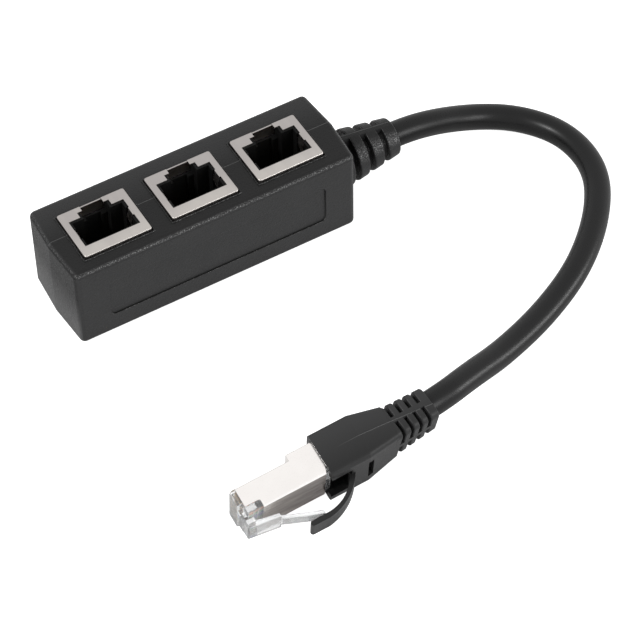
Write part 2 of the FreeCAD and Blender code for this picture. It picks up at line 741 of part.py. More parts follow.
def hook():
    """Guard that curls from the boot over the end of the latch."""
    root = boot_latch_side
    outer_root = V(hook_outer_root, root + hook_sunk, 0)
    inner_root = V(hook_inner_root, root + hook_sunk, 0)
    outer_bend = V(hook_bend_x, root - hook_outer_drop, 0)
    inner_bend = V(hook_bend_x, root - hook_inner_drop, 0)
    outer_tip = V(hook_tip_x, root - hook_outer_drop, 0)
    inner_tip = V(hook_tip_x, root - hook_inner_drop, 0)
    outer_bulge = V(hook_outer_bulge[0], root - hook_outer_bulge[1], 0)
    inner_bulge = V(hook_inner_bulge[0], root - hook_inner_bulge[1], 0)
    half = (hook_outer_drop - hook_inner_drop) / 2
    nose = V(hook_tip_x - half, root - hook_inner_drop - half, 0)
    edges = [Part.Arc(outer_root, outer_bulge, outer_bend), Part.LineSegment(outer_bend, outer_tip),
             Part.Arc(outer_tip, nose, inner_tip), Part.LineSegment(inner_tip, inner_bend),
             Part.Arc(inner_bend, inner_bulge, inner_root), Part.LineSegment(inner_root, outer_root)]
    edges = [edge.toShape() for edge in edges]
    solid = Part.Face(Part.Wire(edges)).extrude(V(0, 0, hook_width))
    return solid.translated(V(0, 0, -hook_width / 2))


def tail_section(x):
    """Rounded outline of the boot's tail, in its own frame."""
    share = x / tail_length
    half_width = tail_start_half_width + share * (tail_end_half_width - tail_start_half_width)
    half_height = tail_start_half_height + share * (tail_end_half_height - tail_start_half_height)
    return rounded_rectangle(x, tail_centre - half_height, tail_centre + half_height, half_width, tail_corner)


def boot_tail():
    """Ribbed end of the boot, in the tail's own frame: rounded rings, four spines and a core."""
    slots = [tail_slot_first + k * tail_slot_pitch for k in range(tail_slot_count)]
    starts = [-tail_sunk] + [x + tail_slot_width for x in slots]
    ends = slots + [tail_length]
    rings = []
    for start, end in zip(starts, ends):
        ring = Part.makeLoft([tail_section(start), tail_section(end)], True, True)
        rims = [e for e in ring.Edges if abs(e.BoundBox.XLength) < 1e-3]
        rings.append(ring.makeFillet(tail_rim, rims))
    plain = Part.makeLoft([tail_section(-tail_sunk), tail_section(tail_length - tail_rim)], True, True)
    reach = tail_start_half_width + 1
    half = tail_spine / 2
    across = block(-tail_sunk, tail_length, tail_centre - half, tail_centre + half, -reach, reach)
    along = block(-tail_sunk, tail_length, -reach, reach, -half, half)
    core = Part.makeCylinder(tail_core_radius, tail_length - tail_rim + tail_sunk, V(-tail_sunk, 0, 0), V(1, 0, 0))
    return fused(rings + [plain.common(across), plain.common(along), core])


def boot():
    mouth = rounded_rectangle(boot_mouth_x, boot_latch_side, boot_contact_side, boot_half_width, boot_corner)
    knee = rounded_rectangle(boot_taper_x, boot_latch_side, boot_contact_side, boot_half_width, boot_corner)
    end = rounded_rectangle(boot_shoulder_x, boot_shoulder_latch_side, boot_shoulder_contact_side,
                            boot_shoulder_half_width, boot_corner)
    sleeve = Part.makeLoft([mouth, knee], True, True)
    taper = Part.makeLoft([knee, end], True, True)
    body = fused([sleeve, taper])
    gap = boot_cavity_gap
    half = plug_width / 2 + gap
    cavity = block(boot_mouth_x - 1, boot_cavity_end, plug_latch_side - gap, plug_rear_side + gap, -half, half)
    window = block(boot_mouth_x - 1, boot_window_end, boot_latch_side - 1, plug_latch_side,
                   -boot_window_width / 2, boot_window_width / 2)
    slot = block(boot_slot_x, boot_slot_x + boot_slot_length, boot_latch_side - 1,
                 boot_latch_side + boot_slot_depth, -boot_slot_width / 2, boot_slot_width / 2)
    body = body.cut([cavity, window, slot]).fuse(hook())
    to_tail = plug_placement().inverse().multiply(tail_placement())
    tail = boot_tail()
    tail.Placement = to_tail
    return body.fuse(tail).removeSplitter()


def cord_radii(points):
    radii = []
    for k in range(1, len(points) - 1):
        before = points[k] - points[k - 1]
        after = points[k + 1] - points[k]
        turn = before.getAngle(after)
        radii.append(0.45 * min(before.Length, after.Length) / math.tan(turn / 2))
    return radii


def cord_path():
    """The route with its straight ends, which are clamped in the box and in the plug."""
    points = [V(*p) for p in cord_points]
    radii = cord_radii(points)
    way = (points[-1] - points[-2]).normalize()
    points[0] = V(jacket_end_x, points[0].y, points[0].z)
    points[-1] = points[-1] + way * jacket_end_depth
    return points, radii


def cable():
    points, radii = cord_path()
    solid, length = tube(points, radii, cable_diameter)
    expected = math.pi * cable_diameter ** 2 / 4 * length
    print("cord radii mm", [round(r, 1) for r in radii])
    print("cord length mm", round(length, 1), "volume ratio", round(solid.Volume / expected, 5))
    return solid


def placed(shape):
    shape = shape.copy()
    shape.Placement = plug_placement().multiply(shape.Placement)
    return shape


def group(shapes):
    return Part.makeCompound(shapes)


def build():
    nodes = {"housing": housing(), "circuit_board": circuit_board(), "cable": cable()}
    for k, cx in enumerate(jack_centres, start=1):
        nodes["jack_shield_%d" % k] = jack_shield(cx)
        nodes["jack_insert_%d" % k] = jack_insert(cx)
        nodes["jack_contacts_%d" % k] = jack_contacts(cx)
    pads = wire_pads()
    pairs = ("orange", "green", "blue", "brown")
    for k, colour in enumerate(pairs):
        nodes["box_wires_" + colour] = group([box_wire(pads[k]), box_wire(pads[k + 4])])
    ways = {"orange": (0, 1), "green": (2, 5), "blue": (3, 4), "brown": (6, 7)}
    for colour in pairs:
        nodes["plug_wires_" + colour] = placed(group([plug_wire(k) for k in ways[colour]]))
    nodes["plug_body"] = placed(plug_body())
    nodes["plug_shield"] = placed(plug_shield())
    nodes["plug_contacts"] = placed(plug_contacts())
    bore = tube(*cord_path(), cable_diameter + 2 * relief_bore_gap)[0]
    nodes["boot"] = placed(boot()).cut(bore)
    return nodes


os.makedirs("parts", exist_ok=True)
for name, shape in build().items():
    shape.exportStep("parts/%s.step" % name)
    bounds = shape.BoundBox
    print(name, "solids", len(shape.Solids), "valid", shape.isValid(), "volume", round(shape.Volume, 2),
          "z", round(bounds.ZMin, 2), round(bounds.ZMax, 2))
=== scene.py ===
import math
import bmesh
import bpy
from mathutils import Matrix, Vector


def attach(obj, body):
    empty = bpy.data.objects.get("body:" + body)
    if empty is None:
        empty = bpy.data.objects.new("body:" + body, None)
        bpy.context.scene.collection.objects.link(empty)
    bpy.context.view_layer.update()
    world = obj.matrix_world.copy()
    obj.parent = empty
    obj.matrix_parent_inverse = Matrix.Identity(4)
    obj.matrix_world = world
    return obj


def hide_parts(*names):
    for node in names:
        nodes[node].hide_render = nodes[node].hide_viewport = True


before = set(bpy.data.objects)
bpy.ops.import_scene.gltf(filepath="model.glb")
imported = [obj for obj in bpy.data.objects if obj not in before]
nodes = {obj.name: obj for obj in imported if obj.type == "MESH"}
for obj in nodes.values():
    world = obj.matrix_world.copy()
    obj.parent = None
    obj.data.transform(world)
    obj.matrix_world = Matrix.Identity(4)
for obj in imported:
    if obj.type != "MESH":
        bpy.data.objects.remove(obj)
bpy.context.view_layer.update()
scene = bpy.context.scene

# camera at the photograph's viewing angle
cameraView = {
    "place": (-0.18918, -0.38976, 0.49439),
    "azimuth": -29.41,
    "elevation": 50.2,
    "roll": -1.19,
    "lens": 168.75,
    "sensor": 36.0,
    "clip": (0.01, 20),
}


def makeCamera(view):
    az, el, roll = (math.radians(view[k]) for k in ("azimuth", "elevation", "roll"))
    back = Vector((math.sin(az) * math.cos(el), -math.cos(az) * math.cos(el), math.sin(el)))
    right = Vector((0, 0, 1)).cross(back).normalized()
    up = back.cross(right)
    level = right * math.cos(roll) + up * math.sin(roll)
    upright = up * math.cos(roll) - right * math.sin(roll)
    data = bpy.data.cameras.new("camera")
    data.lens = view["lens"]
    data.sensor_width = view["sensor"]
    data.clip_start, data.clip_end = view["clip"]
    camera = bpy.data.objects.new("camera", data)
    turn = Matrix((level, upright, back)).transposed()
    camera.matrix_world = Matrix.Translation(view["place"]) @ turn.to_4x4()
    scene.collection.objects.link(camera)
    scene.camera = camera


makeCamera(cameraView)
print("camera placed")

# the cable: its line from inside the box's relief to inside the plug
cableSet = {
    "points": [
        (0.0330, 0.0, 0.0094), (0.0440, 0.0, 0.0094), (0.0563, 0.0, 0.0094), (0.0706, 0.0, 0.0044),
        (0.0806, -0.0050, 0.00295), (0.0868, -0.0148, 0.00295), (0.0866, -0.0272, 0.00295),
        (0.0794, -0.0384, 0.00295), (0.0677, -0.0489, 0.00295), (0.0541, -0.0561, 0.00295),
        (0.0398, -0.0618, 0.0046), (0.0292, -0.0656, 0.0079), (0.0194, -0.0692, 0.0103),
        (0.00599, -0.0705, 0.01005), (-0.00448, -0.07035, 0.00905), (-0.01433, -0.07021, 0.00811),
    ],
    "diameter": 0.0059,
    "length": 0.1885,
    "exit": (0.0496, 0.0, 0.0094),
    "ringSteps": 12,    # round the jacket
    "lineSteps": 24,    # along each stretch of the line
}


def makeCable(settings):
    curve = bpy.data.curves.new("cableJacket", "CURVE")
    curve.dimensions = "3D"
    curve.bevel_depth = 1.0    # times each point's radius
    curve.bevel_resolution = settings["ringSteps"]
    curve.resolution_u = settings["lineSteps"]
    curve.use_fill_caps = True
    spline = curve.splines.new("NURBS")
    spline.points.add(len(settings["points"]) - 1)
    for point, place in zip(spline.points, settings["points"]):
        point.co = (*place, 1)
        point.radius = settings["diameter"] / 2
    spline.order_u = 3
    spline.use_endpoint_u = True
    cable = bpy.data.objects.new("cableJacket", curve)
    scene.collection.objects.link(cable)
    return cable


cable = makeCable(cableSet)
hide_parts("cable")
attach(cable, "root")
onCable = ["boot", "plug_body", "plug_shield", "plug_contacts"]
onCable += ["plug_wires_" + colour for colour in ("orange", "green", "blue", "brown")]
print("cable laid")


# shader effects that several finishes share
def socketIn(tree, name, value, kind="NodeSocketFloat"):
    made = tree.interface.new_socket(name=name, in_out="INPUT", socket_type=kind)
    if value is not None:
        made.default_value = value


def socketOut(tree, name, kind="NodeSocketFloat"):
    tree.interface.new_socket(name=name, in_out="OUTPUT", socket_type=kind)


def addNode(tree, kind, at=(0, 0), **values):
    node = tree.nodes.new(kind)
    node.location = at
    for key, value in values.items():
        if key.startswith("in_"):
            node.inputs[key[3:]].default_value = value    # in_Scale sets the input Scale
        else:
            setattr(node, key, value)
    return node


def mathNode(tree, operation, a, b=None, at=(0, 0), clamp=False):
    node = addNode(tree, "ShaderNodeMath", at, operation=operation, use_clamp=clamp)
    for slot, value in zip(node.inputs, (a, b)):
        if value is None:
            continue
        if isinstance(value, bpy.types.NodeSocket):
            tree.links.new(value, slot)
        else:
            slot.default_value = value
    return node.outputs[0]


# what the two layers of the spark grain share, as parts of its size and height
grainSet = {
    "cellShare": 0.55,
    "pitDepth": 0.6,
    "sparkleSlope": 7.0,    # how fast a peak turns bright above the threshold
}


def sparkGrainGroup(settings):
    tree = bpy.data.node_groups.new("sparkGrain", "ShaderNodeTree")
    socketIn(tree, "Vector", (0, 0, 0), "NodeSocketVector")
    socketIn(tree, "Size", 4000.0)
    socketIn(tree, "Contrast", 1.0)
    socketIn(tree, "Threshold", 0.56)
    socketOut(tree, "Height")
    socketOut(tree, "Sparkle")
    start = addNode(tree, "NodeGroupInput", (-900, 0))
    end = addNode(tree, "NodeGroupOutput", (500, 0))
    fine = addNode(tree, "ShaderNodeTexNoise", (-650, 150), in_Detail=2.0, in_Roughness=0.6)
    cell = addNode(tree, "ShaderNodeTexVoronoi", (-650, -150), feature="F1")
    tree.links.new(start.outputs["Vector"], fine.inputs["Vector"])
    tree.links.new(start.outputs["Vector"], cell.inputs["Vector"])
    tree.links.new(start.outputs["Size"], fine.inputs["Scale"])
    coarse = mathNode(tree, "MULTIPLY", start.outputs["Size"], settings["cellShare"], (-820, -300))
    tree.links.new(coarse, cell.inputs["Scale"])
    pits = mathNode(tree, "MULTIPLY", cell.outputs["Distance"], settings["pitDepth"], (-400, -150))
    both = mathNode(tree, "ADD", fine.outputs["Fac"], pits, (-200, 50))
    height = mathNode(tree, "MULTIPLY", both, start.outputs["Contrast"], (0, 50))
    tree.links.new(height, end.inputs["Height"])
    peaks = mathNode(tree, "SUBTRACT", fine.outputs["Fac"], start.outputs["Threshold"], (-200, 250))
    bright = mathNode(tree, "MULTIPLY", peaks, settings["sparkleSlope"], (0, 250), clamp=True)
    tree.links.new(bright, end.inputs["Sparkle"])
    return tree


def mottleGroup():
    tree = bpy.data.node_groups.new("softMottle", "ShaderNodeTree")
    socketIn(tree, "Vector", (0, 0, 0), "NodeSocketVector")
    socketIn(tree, "Size", 120.0)
    socketIn(tree, "Dark", (0.02, 0.02, 0.02, 1), "NodeSocketColor")
    socketIn(tree, "Light", (0.03, 0.03, 0.03, 1), "NodeSocketColor")
    socketOut(tree, "Color", "NodeSocketColor")
    start = addNode(tree, "NodeGroupInput", (-700, 0))
    end = addNode(tree, "NodeGroupOutput", (400, 0))
    wide = addNode(tree, "ShaderNodeTexNoise", (-450, 0), in_Detail=4.0, in_Roughness=0.55)
    tree.links.new(start.outputs["Vector"], wide.inputs["Vector"])
    tree.links.new(start.outputs["Size"], wide.inputs["Scale"])
    mix = addNode(tree, "ShaderNodeMix", (100, 100), data_type="RGBA")
    tree.links.new(wide.outputs["Fac"], mix.inputs["Factor"])
    tree.links.new(start.outputs["Dark"], mix.inputs["A"])
    tree.links.new(start.outputs["Light"], mix.inputs["B"])
    tree.links.new(mix.outputs["Result"], end.inputs["Color"])
    return tree


# a thin line where one coordinate is near a level
def lineGroup():
    tree = bpy.data.node_groups.new("flatLine", "ShaderNodeTree")
    socketIn(tree, "Coordinate", 0.0)
    socketIn(tree, "Level", 0.0)
    socketIn(tree, "HalfWidth", 0.00006)
    socketOut(tree, "Mask")
    start = addNode(tree, "NodeGroupInput", (-700, 0))
    end = addNode(tree, "NodeGroupOutput", (300, 0))
    away = mathNode(tree, "SUBTRACT", start.outputs["Coordinate"], start.outputs["Level"], (-500, 0))
    gap = mathNode(tree, "ABSOLUTE", away, None, (-350, 0))
    share = mathNode(tree, "DIVIDE", gap, start.outputs["HalfWidth"], (-200, 0))
    mask = mathNode(tree, "SUBTRACT", 1.0, share, (0, 0), clamp=True)
    tree.links.new(mask, end.inputs["Mask"])
    return tree


# 1 where the surface looks one way
def facingGroup():
    tree = bpy.data.node_groups.new("facing", "ShaderNodeTree")
    socketIn(tree, "Normal", (0, 0, 1), "NodeSocketVector")
    socketIn(tree, "Toward", (0, 0, 1), "NodeSocketVector")
    socketIn(tree, "Low", 0.5)
    socketIn(tree, "High", 0.8)
    socketOut(tree, "Mask")
    start = addNode(tree, "NodeGroupInput", (-700, 0))
    end = addNode(tree, "NodeGroupOutput", (300, 0))
    turned = addNode(tree, "ShaderNodeVectorMath", (-450, 0), operation="DOT_PRODUCT")
    tree.links.new(start.outputs["Normal"], turned.inputs[0])
    tree.links.new(start.outputs["Toward"], turned.inputs[1])
    ramp = addNode(tree, "ShaderNodeMapRange", (-200, 0))
    tree.links.new(turned.outputs["Value"], ramp.inputs["Value"])
    tree.links.new(start.outputs["Low"], ramp.inputs["From Min"])
    tree.links.new(start.outputs["High"], ramp.inputs["From Max"])
    tree.links.new(ramp.outputs["Result"], end.inputs["Mask"])
    return tree


# 1 on rounded edges that look up
def roundedEdgeGroup():
    tree = bpy.data.node_groups.new("roundedEdge", "ShaderNodeTree")
    socketIn(tree, "Normal", (0, 0, 1), "NodeSocketVector")
    socketIn(tree, "Low", 0.04)
    socketIn(tree, "High", 0.2)
    socketIn(tree, "Up Low", 0.1)
    socketIn(tree, "Up High", 0.5)
    socketOut(tree, "Mask")
    start = addNode(tree, "NodeGroupInput", (-900, 0))
    end = addNode(tree, "NodeGroupOutput", (400, 0))
    sizes = addNode(tree, "ShaderNodeVectorMath", (-700, 0), operation="ABSOLUTE")
    tree.links.new(start.outputs["Normal"], sizes.inputs[0])
    split = addNode(tree, "ShaderNodeSeparateXYZ", (-500, 0))
    tree.links.new(sizes.outputs["Vector"], split.inputs[0])
    most = mathNode(tree, "MAXIMUM", split.outputs[0], split.outputs[1], (-300, 100))
    most = mathNode(tree, "MAXIMUM", most, split.outputs[2], (-150, 50))
    away = mathNode(tree, "SUBTRACT", 1.0, most, (0, 0))
    ramp = addNode(tree, "ShaderNodeMapRange", (200, 0))
    tree.links.new(away, ramp.inputs["Value"])
    tree.links.new(start.outputs["Low"], ramp.inputs["From Min"])
    tree.links.new(start.outputs["High"], ramp.inputs["From Max"])
    lift = addNode(tree, "ShaderNodeSeparateXYZ", (-500, -300))
    tree.links.new(start.outputs["Normal"], lift.inputs[0])
    upward = addNode(tree, "ShaderNodeMapRange", (-200, -300))
    tree.links.new(start.outputs["Up Low"], upward.inputs["From Min"])
    tree.links.new(start.outputs["Up High"], upward.inputs["From Max"])
    tree.links.new(lift.outputs[2], upward.inputs["Value"])
    mask = mathNode(tree, "MULTIPLY", ramp.outputs["Result"], upward.outputs["Result"], (300, -100))
    tree.links.new(mask, end.inputs["Mask"])
    return tree


groups = {"sparkGrain": sparkGrainGroup(grainSet), "softMottle": mottleGroup(), "flatLine": lineGroup(),
          "facing": facingGroup(), "roundedEdge": roundedEdgeGroup()}


def useGroup(tree, name, at=(0, 0), **values):
    node = addNode(tree, "ShaderNodeGroup", at)
    node.node_tree = groups[name]
    for key, value in values.items():
        slot = node.inputs[key]
        if isinstance(value, bpy.types.NodeSocket):
            tree.links.new(value, slot)
        else:
            slot.default_value = value
    return node


def startMaterial(name):
    material = bpy.data.materials.new(name)
    material.use_nodes = True
    tree = material.node_tree
    shader = tree.nodes["Principled BSDF"]
    shader.location = (300, 0)
    place = addNode(tree, "ShaderNodeTexCoord", (-1100, 0)).outputs["Object"]
    return material, tree, shader, place


def rampNode(tree, value, start, end, at=(0, 0), low=0.0, high=1.0):
    node = addNode(tree, "ShaderNodeMapRange", at)
    for name, number in (("From Min", start), ("From Max", end), ("To Min", low), ("To Max", high)):
        node.inputs[name].default_value = number
    tree.links.new(value, node.inputs["Value"])
    return node.outputs["Result"]


def mixColour(tree, mask, first, second, at=(0, 0)):
    node = addNode(tree, "ShaderNodeMix", at, data_type="RGBA")
    tree.links.new(mask, node.inputs["Factor"])
    for name, value in (("A", first), ("B", second)):
        if isinstance(value, bpy.types.NodeSocket):
            tree.links.new(value, node.inputs[name])
        else:
            node.inputs[name].default_value = value
    return node.outputs["Result"]


def alongNode(tree, place, direction, at=(0, 0)):
    node = addNode(tree, "ShaderNodeVectorMath", at, operation="DOT_PRODUCT")
    tree.links.new(place, node.inputs[0])
    node.inputs[1].default_value = direction
    return node.outputs["Value"]


# how squarely a face has to look one way, from not at all to wholly, as cosines
squareness = {"coarse": (0.7, 0.95), "paintedShadeFace": (0.6, 0.9), "seam": (0.3, 0.6), "paintedShadingFace": (0.5, 0.8)}


def faceMask(tree, toward, use, at=(0, 0)):
    shape = addNode(tree, "ShaderNodeNewGeometry", (at[0] - 200, at[1]))
    low, high = squareness[use]
    return useGroup(tree, "facing", at, Normal=shape.outputs["Normal"], Toward=toward, Low=low,
                    High=high).outputs["Mask"]


def bumpFrom(tree, height, strength, distance, at=(50, -300), normal=None):
    bump = addNode(tree, "ShaderNodeBump", at)
    bump.inputs["Strength"].default_value = strength
    bump.inputs["Distance"].default_value = distance
    tree.links.new(height, bump.inputs["Height"])
    if normal is not None:
        tree.links.new(normal, bump.inputs["Normal"])
    return bump.outputs["Normal"]


def mouldedPlastic(settings):
    material, tree, shader, place = startMaterial(settings["name"])
    mottle = useGroup(tree, "softMottle", (-700, 200), Vector=place, Size=settings["mottleSize"],
                      Dark=settings["dark"], Light=settings["light"])
    grain = useGroup(tree, "sparkGrain", (-700, -200), Vector=place, Size=settings["grainSize"],
                     Contrast=settings["contrast"], Threshold=settings["sparkleFrom"])
    height = grain.outputs["Height"]
    colour = mottle.outputs["Color"]
    edgeGrainAndGlint = settings.get("edge")    # grain that light catches on rounded edges and on one coarse face; on the rounded edges its sparkle peaks also get a painted highlight
    if edgeGrainAndGlint:
        shape = addNode(tree, "ShaderNodeNewGeometry", (-1100, -900))
        edge = useGroup(tree, "roundedEdge", (-900, -900), Normal=shape.outputs["Normal"]).outputs["Mask"]
        coarse = mathNode(tree, "MULTIPLY", faceMask(tree, edgeGrainAndGlint["coarseFace"], "coarse", (-900, -1100)),
                          edgeGrainAndGlint["coarseShare"], (-700, -1100))
        rougher = mathNode(tree, "MAXIMUM", edge, coarse, (-500, -1000))
        share = rampNode(tree, rougher, 0.0, 1.0, (-300, -1000), low=edgeGrainAndGlint["flatShare"])
        height = mathNode(tree, "MULTIPLY", height, share, (-100, -900))
        # painted highlight: sparkle peaks on rounded edges that look up are painted a lighter grey
        glint = mathNode(tree, "MULTIPLY", grain.outputs["Sparkle"], edge, (-300, -800))
        colour = mixColour(tree, glint, colour, edgeGrainAndGlint["colour"], (-450, 300))
    normal = bumpFrom(tree, height, settings["bump"], settings["bumpDepth"])
    for paintedShadeFace in settings.get("paintedShadeFaces", ()):    # painted shade: faces painted darker towards one side, as light falls on them
        across = alongNode(tree, place, paintedShadeFace["across"], (-900, 500))
        drift = rampNode(tree, across, paintedShadeFace["from"], paintedShadeFace["to"], (-700, 500))
        onFace = faceMask(tree, paintedShadeFace["toward"], "paintedShadeFace", (-700, 750))
        shade = mixColour(tree, drift, paintedShadeFace["near"], paintedShadeFace["far"], (-450, 500))
        colour = mixColour(tree, onFace, colour, shade, (-200, 350))
    for seam in settings.get("seams", ()):
        across = alongNode(tree, place, seam["across"], (-900, -500))
        line = useGroup(tree, "flatLine", (-700, -500), Coordinate=across, Level=seam["level"],
                        HalfWidth=seam["halfWidth"]).outputs["Mask"]
        line = mathNode(tree, "MULTIPLY", line, faceMask(tree, seam["toward"], "seam", (-700, -700)), (-500, -600))
        if "fades" in seam:
            along = alongNode(tree, place, seam["fades"], (-900, -800))
            line = mathNode(tree, "MULTIPLY", line, rampNode(tree, along, seam["from"], seam["to"], (-700, -850)),
                            (-400, -700))
        raised = mathNode(tree, "MULTIPLY", line, seam["height"], (-350, -500))
        normal = bumpFrom(tree, raised, 1.0, seam["depth"], (150, -450), normal)
        colour = mixColour(tree, line, colour, seam["colour"], (50, 250))
    tree.links.new(colour, shader.inputs["Base Color"])
    tree.links.new(normal, shader.inputs["Normal"])
    smooth, matt = settings["roughness"]    # the peaks are polished
    rough = rampNode(tree, grain.outputs["Sparkle"], 0.0, 1.0, (-300, 0), low=matt, high=smooth)
    tree.links.new(rough, shader.inputs["Roughness"])
    shader.inputs["IOR"].default_value = settings["ior"]
    return material


# the plug lies on its side: its own directions, from the line of the cable's end
plugAlong = (0.99537, -0.01426, 0.09507)
plugAcross = (-0.0091, 0.97053, 0.24083)    # from the latch side to the contact side
plugUp = (-0.0957, -0.24058, 0.9659)
plugTip = (-0.02976, -0.06999, 0.006635)

housingFinish = {
    "name": "sparkErodedBlack",
    "mottleSize": 90.0,
    "dark": (0.024, 0.024, 0.0245, 1),
    "light": (0.034, 0.034, 0.0345, 1),
    "grainSize": 3800.0,
    "contrast": 1.0,
    "sparkleFrom": 0.5,
    "bump": 1.0,
    "bumpDepth": 0.0002,
    "roughness": (0.26, 0.44),
    "ior": 1.3,
    # painted highlight: the edge colour is painted on sparkle peaks of the rounded edges
    "edge": {"coarseFace": (-1, 0, 0), "coarseShare": 0.7, "flatShare": 0.22, "colour": (0.27, 0.27, 0.27, 1)},
    "paintedShadeFaces": [
        # painted shade: the top is painted darker towards its front edge
        {"toward": (0, 0, 1), "across": (0, 1, 0), "from": 0.0002, "to": 0.0105,
         "near": (0.0095, 0.0095, 0.0095, 1), "far": (0.032, 0.032, 0.0325, 1)},
        # painted light and shade: the left end is painted lighter towards its bottom and darker towards its top
        {"toward": (-1, 0, 0), "across": (0, 0, 1), "from": 0.004, "to": 0.014,
         "near": (0.085, 0.085, 0.0855, 1), "far": (0.002, 0.002, 0.002, 1)},
    ],
    "seams": [
        {"toward": (0, 0, 1), "across": (0, 1, 0), "level": 0.00035, "halfWidth": 0.00012, "height": 0.6,
         "depth": 0.0001, "colour": (0.1, 0.1, 0.1, 1)},
    ],
}
bootFinish = {
    "name": "bootBlack",
    "mottleSize": 140.0,
    "dark": (0.022, 0.022, 0.0223, 1),
    "light": (0.036, 0.036, 0.0365, 1),
    "grainSize": 4200.0,
    "contrast": 0.5,
    "sparkleFrom": 0.56,
    "bump": 0.2,
    "bumpDepth": 0.00012,
    "roughness": (0.3, 0.44),
    "ior": 1.32,
    "paintedShadeFaces": [
        # painted shade: the flank is painted darker towards the latch side
        {"toward": plugUp, "across": plugAcross, "from": -0.0702, "to": -0.0625,
         "near": (0.016, 0.016, 0.016, 1), "far": (0.036, 0.036, 0.0365, 1)},
    ],
    "seams": [
        {"toward": plugUp, "across": plugAcross, "level": -0.06656, "halfWidth": 0.00009, "height": 0.6,
         "depth": 0.0001, "colour": (0.12, 0.12, 0.12, 1), "fades": plugAlong, "from": -0.005, "to": 0.003},
    ],
}
cableFinish = {
    "name": "cablePvc",
    "mottleSize": 220.0,
    "dark": (0.004, 0.004, 0.0041, 1),
    "light": (0.0065, 0.0065, 0.0067, 1),
    "grainSize": 2600.0,
    "contrast": 0.5,
    "sparkleFrom": 0.56,
    "bump": 0.16,
    "bumpDepth": 0.00006,
    "roughness": (0.24, 0.34),
    "ior": 1.33,
}
insertFinish = {
    "name": "insertBlack",
    "mottleSize": 200.0,
    "dark": (0.004, 0.004, 0.004, 1),
    "light": (0.008, 0.008, 0.008, 1),
    "grainSize": 6000.0,
    "contrast": 0.4,
    "sparkleFrom": 0.56,
    "bump": 0.15,
    "bumpDepth": 0.00006,
    "roughness": (0.35, 0.5),
    "ior": 1.2,
}


noiseBand = (0.3, 0.7)    # where most of a noise's values lie


def sheetMetal(settings):
    material, tree, shader, place = startMaterial(settings["name"])
    stretch = addNode(tree, "ShaderNodeMapping", (-900, -200))
    stretch.inputs["Scale"].default_value = settings["stretch"]
    tree.links.new(place, stretch.inputs["Vector"])
    mottle = useGroup(tree, "softMottle", (-700, 200), Vector=place, Size=settings["mottleSize"],
                      Dark=settings["dark"], Light=settings["light"])
    rolled = addNode(tree, "ShaderNodeTexNoise", (-700, -200), in_Scale=settings["lineSize"], in_Detail=3.0)
    tree.links.new(stretch.outputs["Vector"], rolled.inputs["Vector"])
    smooth, matt = settings["roughness"]
    rough = rampNode(tree, rolled.outputs["Fac"], *noiseBand, (-300, 0), low=smooth, high=matt)
    normal = bumpFrom(tree, rolled.outputs["Fac"], settings["bump"], settings["bumpDepth"])
    colour = mottle.outputs["Color"]
    for paintedShadingFace in settings.get("paintedShadingFaces", ()):    # painted light and shade: faces painted lighter or darker towards one side, in patches
        onFace = faceMask(tree, paintedShadingFace["toward"], "paintedShadingFace", (-700, 750))
        along = alongNode(tree, place, paintedShadingFace["along"], (-900, 500))
        drift = rampNode(tree, along, paintedShadingFace["from"], paintedShadingFace["to"], (-700, 500))
        # noise breaks the painted light and shade into patches
        shadingPatches = addNode(tree, "ShaderNodeTexNoise", (-900, 900), in_Scale=paintedShadingFace["shadingPatchesSize"], in_Detail=3.0)
        tree.links.new(stretch.outputs["Vector"], shadingPatches.inputs["Vector"])
        patch = rampNode(tree, shadingPatches.outputs["Fac"], *noiseBand, (-700, 950), low=-paintedShadingFace["shadingPatches"], high=paintedShadingFace["shadingPatches"])
        drift = mathNode(tree, "ADD", drift, patch, (-580, 500), clamp=True)
        shade = mixColour(tree, drift, paintedShadingFace["near"], paintedShadingFace["far"], (-450, 500))
        if "fold" in paintedShadingFace:    # the sheet turns away towards its fold, and a painted highlight runs along the fold
            fold = paintedShadingFace["fold"]
            high = alongNode(tree, place, fold["across"], (-900, 1150))
            turn = rampNode(tree, high, fold["from"], fold["to"], (-700, 1150), high=-1.0)
            bend = mathNode(tree, "MULTIPLY", turn, onFace, (-400, 1150))
            normal = bumpFrom(tree, bend, fold["strength"], fold["to"] - fold["from"], normal=normal)
            bright = rampNode(tree, high, fold["from"] - fold["blend"], fold["from"], (-700, 1350))
            shade = mixColour(tree, bright, shade, fold["colour"], (-300, 650))
        colour = mixColour(tree, onFace, colour, shade, (-200, 350))
    tree.links.new(colour, shader.inputs["Base Color"])
    tree.links.new(rough, shader.inputs["Roughness"])
    tree.links.new(normal, shader.inputs["Normal"])
    shader.inputs["Metallic"].default_value = 1.0
    return material


